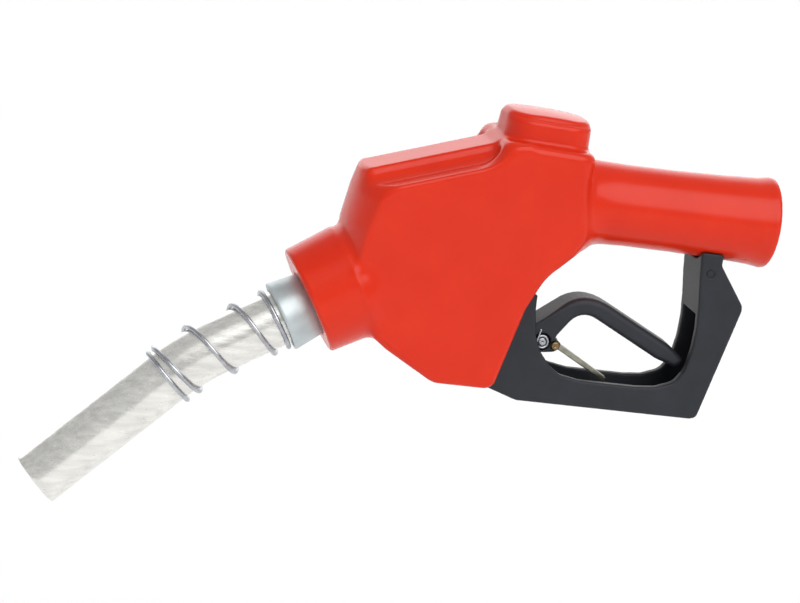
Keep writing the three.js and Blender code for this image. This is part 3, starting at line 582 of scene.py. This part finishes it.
SPOUT_GRAIN = (0.05, 1, 1)     # noise drawn out along one axis, for marks that slant across the tube
FINISHES = {
    "red_vinyl": finish_of(
        "vinyl_red", ("#d62d0f", "#d0280d"), (0.2, 0.27), (500, 0.05, 0.04), 45, specular=0.26),
    "black_nylon": finish_of(
        "nylon_charcoal", ("#25282f", "#1f2227"), (0.42, 0.58), (2600, 0.3, 0.05), 90, specular=0.35),
    "cast_aluminium": finish_of(
        "aluminium_cast", ("#a9adaf", "#8f9497"), (0.42, 0.62), (1500, 0.5, 0.12), 220, metallic=0.9),
    "plated_steel": finish_of(
        "steel_plated", ("#a8a596", "#8d8a7c"), (0.26, 0.4), (1800, 0.2, 0.04), 300, metallic=1.0),
    "brass": finish_of(
        "brass_turned", ("#8a7350", "#6f5c40"), (0.28, 0.42), (1600, 0.2, 0.03), 260, metallic=1.0),
    "spring_wire": finish_of(
        "wire_drawn", ("#c0c2c6", "#9da0a6"), (0.2, 0.32), (1200, 0.15, 0.03), 240, metallic=1.0),
    "black_rubber": finish_of("rubber_black", ("#1c1c1e", "#242426"), (0.7, 0.85), (1400, 0.4, 0.08), 120),
    "bright_aluminium": finish_of(
        "aluminium_drawn", ("#f2f1ec", "#d9d8d4"), (0.16, 0.3), (900, 0.12, 0.03), 400, metallic=0.8,
        stretch=SPOUT_GRAIN, tilt=-(SPOUT_DROP + TIP_DROP) / 2),
    "satin_nut": finish_of(
        "aluminium_anodised", ("#c3cccd", "#b4bdbf"), (0.36, 0.48), (1500, 0.2, 0.04), 150, metallic=0.75),
    "white_plastic": finish_of("plastic_white", ("#dcdad2", "#cfcdc4"), (0.45, 0.55), (900, 0.1, 0.03), 80),
}


def put(piece, slot, body, *nodes):
    """Gives a new piece its finish, the body it rides on and the CAD nodes it stands for."""
    piece.data.materials.clear()
    piece.data.materials.append(FINISHES[slot])
    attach(piece, body)
    if nodes:
        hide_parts(*nodes)
    return piece


# ------------------------------------------------------------------ the pieces
def make_cover():
    cover = mesh_from_field("cover", cover_field, (-222, -28, -90), (2, 28, 41), COVER_STEP)
    put(cover, "red_vinyl", "nozzle_body", "scuff_cover")


def make_guard():
    guard = mesh_from_field("guard", guard_field, (-122, -15, -91), (-6, 15, -6), GUARD_STEP)
    put(guard, "black_nylon", "nozzle_body", "lever_guard")


def make_lever():
    piece = mesh_from_field("squeeze_lever", lever_field, (-132, -10, -74), (-27, 10, -40), LEVER_STEP)
    put(piece, "black_nylon", "squeeze_lever", "lever")


def make_clip():
    strap = mesh_from_field("clip_strap", clip_field, (-94, -4, -80), (-59, 4, -59), CLIP_STEP, 2)
    put(strap, "plated_steel", "clip", "hold_open_clip")


def turned_mesh(name, profile, place, sides=64):
    """A closed profile of (radius, height) turned round an axis; place is (origin, axis, side)."""
    origin, axis, side = (Vector(v) for v in place)
    other = axis.cross(side)
    turns = [2 * math.pi * j / sides for j in range(sides)]
    rings = [[
        tuple(origin + axis * h + (side * math.cos(t) + other * math.sin(t)) * r) for t in turns
    ] for r, h in profile]
    return rings_mesh(name, np.array(rings), closed_along=True)


def make_rivet():
    """The clip's rivet: a shank with a domed head at each end, dimpled where it was spun over."""
    end, head, shank = LEVER_HALF + 1.3, 2.0, 1.5
    half = [
        (0.02, end - 0.35), (0.45, end - 0.32), (0.75, end - 0.05), (1.05, end), (1.5, end - 0.1),
        (1.85, end - 0.4), (head, end - 0.8), (head - 0.05, end - 0.95), (shank, end - 0.95),
    ]
    profile = [*half, *[(r, -h) for r, h in reversed(half)]]
    px, pz = CLIP_PIVOT
    rivet = turned_mesh("rivet", profile, ((px, 0, pz), (0, 1, 0), (1, 0, 0)), 40)
    put(rivet, "brass", "squeeze_lever", "clip_rivet")


def make_coil_bush():
    """The plated bush that the clip's spring is wound on."""
    half = 8.2
    profile = [
        (0.02, -half), (1.5, -half), (1.75, -half + 0.25), (1.75, -half + 3.4), (1.5, -half + 3.6),
        (0.02, -half + 3.6),
    ]
    cx, cz = CLIP_COIL
    bush = turned_mesh("coil_bush", profile, ((cx, 0, cz), (0, 1, 0), (1, 0, 0)), 32)
    put(bush, "spring_wire", "squeeze_lever")


def make_clip_coil():
    """The clip's torsion spring: three turns with a leg at each end."""
    cx, cz = CLIP_COIL
    radius, turns, steps = 2.6, 3.25, 90
    path = [(cx - 1.5, -7.9, cz + 5.2)]
    for n in range(steps + 1):
        angle = 2 * math.pi * turns * n / steps + math.pi
        path.append((
            cx + radius * math.cos(angle),
            -8.1 + 3.2 * n / steps,
            cz + radius * math.sin(angle),
        ))
    path.append((cx + 5.4, -4.5, cz - 2.4))
    put(wire_mesh("clip_coil", path, 0.55, 12), "spring_wire", "squeeze_lever", "clip_spring")


def make_spout():
    """The drawn tube with eased lips."""
    outer, inner, lip = TUBE_RADIUS, TUBE_RADIUS - TUBE_WALL, 0.35
    stations = [TUBE_START + lip + n * (SPOUT_LENGTH - TUBE_START - 2 * lip) / 90 for n in range(91)]
    profile = [(s, outer) for s in stations]
    profile += [(SPOUT_LENGTH - 0.1, outer - 0.1), (SPOUT_LENGTH, outer - lip)]
    profile += [(SPOUT_LENGTH, inner + lip), (SPOUT_LENGTH - 0.1, inner + 0.1)]
    profile += [(s, inner) for s in reversed(stations)]
    profile += [(TUBE_START + 0.1, inner + 0.1), (TUBE_START, inner + lip)]
    profile += [(TUBE_START, outer - lip), (TUBE_START + 0.1, outer - 0.1)]
    tube = rings_mesh("spout", spout_rings(profile, 96), closed_along=True)
    put(tube, "bright_aluminium", "nozzle_body", "spout_tube")


def make_spout_nut():
    profile = [
        (-15, 12.2), (-15, 13.4), (-14.6, 13.8), (-2, 13.8), (-1.6, 13.9), (10.4, 15.3), (11.2, 15.4),
        (11.8, 15.2), (12, 14.7), (12, 12.6), (11.7, 12.25), (-14.8, 12.2),
    ]
    nut = rings_mesh("nut", spout_rings(profile, 96), closed_along=True)
    put(nut, "satin_nut", "nozzle_body", "spout_nut")


def make_grip_spring():
    """Wire wound on the spout: closed turns at the bend, opening out toward the nut."""
    turns, per_turn, radius = 4.5, 60, TUBE_RADIUS + 1.35
    path = []
    for n in range(int(turns * per_turn) + 1):
        count = n / per_turn
        s = 66.8 - 2.2 * count - 43 * smooth_step(0.72, 4.12, count)
        centre, ahead = spout_point(float(s))
        up = Vector((ahead.z, 0, -ahead.x))
        angle = 2 * math.pi * count
        path.append(centre + up * radius * math.cos(angle) - Vector((0, radius * math.sin(angle), 0)))
    put(wire_mesh("grip_spring", path, 1.0), "spring_wire", "nozzle_body", "spout_spring")


def make_thread():
    """The hose thread: a triangular ridge wound inside the inlet socket."""
    root, crest, pitch, turns, per_turn = 13.25, 12.3, 1.81, 8, 72
    rings = []
    for n in range(turns * per_turn + 1):
        angle = 2 * math.pi * n / per_turn
        middle = -2.6 - pitch * n / per_turn
        fade = min(1, n / 30, (turns * per_turn - n) / 30)
        tip = root - (root - crest) * fade
        section = [
            (pitch * 0.45, root), (0.15, tip - 0.02), (-0.15, tip - 0.02), (-pitch * 0.45, root),
            (0, root + 0.05),
        ]
        rings.append([
            (middle + along, r * math.cos(angle), r * math.sin(angle)) for along, r in section
        ])
    put(rings_mesh("socket_thread", np.array(rings)), "cast_aluminium", "nozzle_body")


def dress_cad_nodes():
    """The CAD nodes that stay get the finish of their slot."""
    for subpart in frame["record"]["subparts"]:
        node = frame["nodes"].get(subpart["node"])
        if node is None or node.hide_render:
            continue
        if not node.material_slots:
            node.data.materials.append(None)
        for place in node.material_slots:
            place.material = FINISHES[subpart["material_slot"]]


# ------------------------------------------------------------------ floor, light and camera
FLOOR_Z = -0.42


def make_floor():
    mesh = bpy.data.meshes.new("floor")
    reach = 30.0
    outline = ((-reach, -reach), (reach, -reach), (reach, reach), (-reach, reach))
    corners = [(x, y, FLOOR_Z) for x, y in outline]
    mesh.from_pydata(corners, [], [(0, 1, 2, 3)])
    floor = bpy.data.objects.new("floor", mesh)
    bpy.context.collection.objects.link(floor)
    pale = bpy.data.materials.new("floor_pale")
    pale.use_nodes = True
    shader = pale.node_tree.nodes["Principled BSDF"]
    shader.inputs["Base Color"].default_value = linear("#fdfdfd")
    shader.inputs["Roughness"].default_value = 1.0
    shader.inputs["Specular IOR Level"].default_value = 0.0
    mesh.materials.append(pale)


def glow(tree, direction, span, levels):
    """Brightness that rises smoothly between two values of one part of the direction."""
    ramp = tree.nodes.new("ShaderNodeMapRange")
    ramp.interpolation_type = "SMOOTHSTEP"
    for name, value in zip(("From Min", "From Max", "To Min", "To Max"), (*span, *levels)):
        ramp.inputs[name].default_value = value
    tree.links.new(direction, ramp.inputs["Value"])
    return ramp.outputs["Result"]


def toward(tree, direction, aim):
    """How far a direction points toward an aim, as the cosine of the angle between them."""
    node = tree.nodes.new("ShaderNodeVectorMath")
    node.operation = "DOT_PRODUCT"
    tree.links.new(direction, node.inputs[0])
    node.inputs[1].default_value = Vector(aim).normalized()
    return node.outputs["Value"]


def make_sky():
    """A dim studio with a large softbox over the camera and a bright low wall behind the nozzle."""
    world = bpy.data.worlds.new("studio")
    bpy.context.scene.world = world
    world.use_nodes = True
    tree = world.node_tree
    direction = tree.nodes.new("ShaderNodeTexCoord").outputs["Generated"]
    softbox = glow(tree, toward(tree, direction, (0.24, -0.7, 0.7)), (0.85, 0.9), (0.5, 3.0))
    wall = glow(tree, toward(tree, direction, (0.1, 1.0, 0.3)), (0.75, 0.92), (0, 1.25))
    total = tree.nodes.new("ShaderNodeMath")
    tree.links.new(softbox, total.inputs[0])
    tree.links.new(wall, total.inputs[1])
    tree.links.new(total.outputs["Value"], tree.nodes["Background"].inputs["Strength"])
    tree.nodes["Background"].inputs["Color"].default_value = (1, 1, 1, 1)


def add_softbox(name, place, aim, size, watts):
    light = bpy.data.lights.new(name, "AREA")
    light.shape = "DISK"
    light.size = size
    light.energy = watts
    made = bpy.data.objects.new(name, light)
    made.location = place
    made.rotation_mode = "QUATERNION"
    made.rotation_quaternion = (Vector(aim) - Vector(place)).to_track_quat("-Z", "Y")
    bpy.context.collection.objects.link(made)


def make_camera():
    """A long lens from the front left, a little above the nozzle and rolled to the right."""
    yaw, lift, roll = (math.radians(v) for v in (14.5, 12.5, 9.7))
    target = Vector((-0.158257, 0, -0.053750))
    distance = 1.5
    back = Vector((-math.sin(yaw) * math.cos(lift), -math.cos(yaw) * math.cos(lift), math.sin(lift)))
    level = Vector((math.cos(yaw), -math.sin(yaw), 0))
    upright = back.cross(level)
    right = level * math.cos(roll) + upright * math.sin(roll)
    up = upright * math.cos(roll) - level * math.sin(roll)
    data = bpy.data.cameras.new("camera")
    data.sensor_width = 36
    data.lens = 156.98
    camera = bpy.data.objects.new("camera", data)
    facing = Matrix((right, up, back)).transposed().to_4x4()
    camera.matrix_world = Matrix.Translation(target + back * distance) @ facing
    bpy.context.collection.objects.link(camera)
    bpy.context.scene.camera = camera


COVER_STEP = 0.95
GUARD_STEP = 0.65
LEVER_STEP = 0.5
CLIP_STEP = 0.3

make_cover()
make_guard()
make_lever()
make_clip()
make_rivet()
make_coil_bush()
make_clip_coil()
make_spout()
make_spout_nut()
make_grip_spring()
make_thread()
dress_cad_nodes()
make_floor()
make_sky()
add_softbox("key", (-0.9, -1.3, 1.4), (-0.15, 0, -0.05), 1.2, 1.5)
make_camera()
bpy.context.scene.view_settings.view_transform = "Standard"
